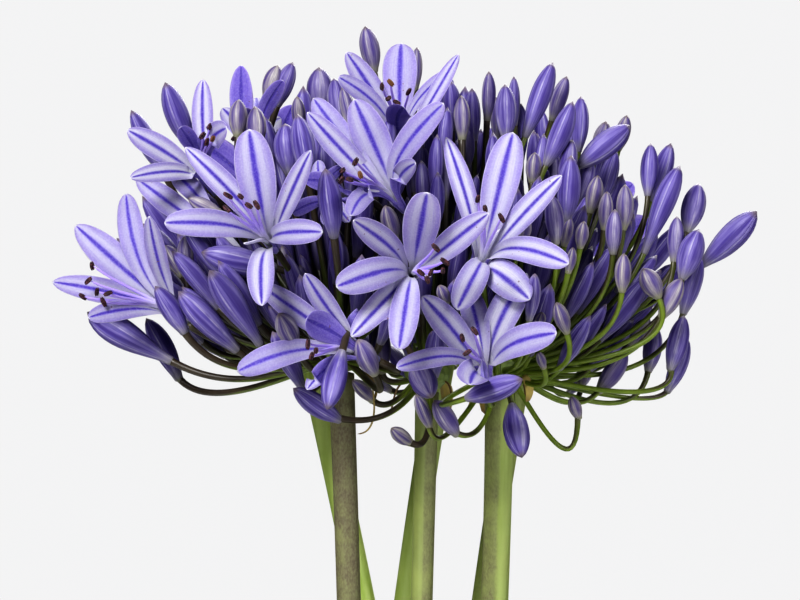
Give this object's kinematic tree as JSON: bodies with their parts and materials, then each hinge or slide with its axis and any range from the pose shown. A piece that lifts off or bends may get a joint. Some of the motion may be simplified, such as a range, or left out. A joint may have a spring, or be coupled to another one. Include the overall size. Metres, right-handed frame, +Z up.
{
  "type": "potted agapanthus",
  "caption": "Blue agapanthus, or African lily, with striped open flowers and closed buds in round umbels on tall scapes over strap leaves in a plain clay pot.",
  "frame": {"origin": "middle of the pot's flat foot, on the surface that the pot stands on", "axes": "+Z up along the scapes, -Y towards the viewer of the picture, +X to the viewer's right"},
  "size_m": [0.3556, 0.3798, 0.5239],
  "materials": {
    "clay": "matte",
    "potting_soil": "matte",
    "strap_leaf": "satin",
    "scape": "satin",
    "floret": "matte"
  },
  "bodies": {
    "root": {"pot": "clay", "soil": "potting_soil", "leaf_clump_1": "strap_leaf", "leaf_clump_2": "strap_leaf", "leaf_clump_3": "strap_leaf", "leaf_clump_4": "strap_leaf", "leaf_clump_5": "strap_leaf", "leaf_clump_6": "strap_leaf", "scape_front_left": "scape", "scape_front_centre": "scape", "scape_front_right": "scape", "scape_rear_left": "scape", "scape_rear_centre": "scape", "scape_rear_right": "scape", "umbel_front_left": "floret", "umbel_front_centre": "floret", "umbel_front_right": "floret", "umbel_rear_left": "floret", "umbel_rear_centre": "floret", "umbel_rear_right": "floret"}
  },
  "joints": []
}
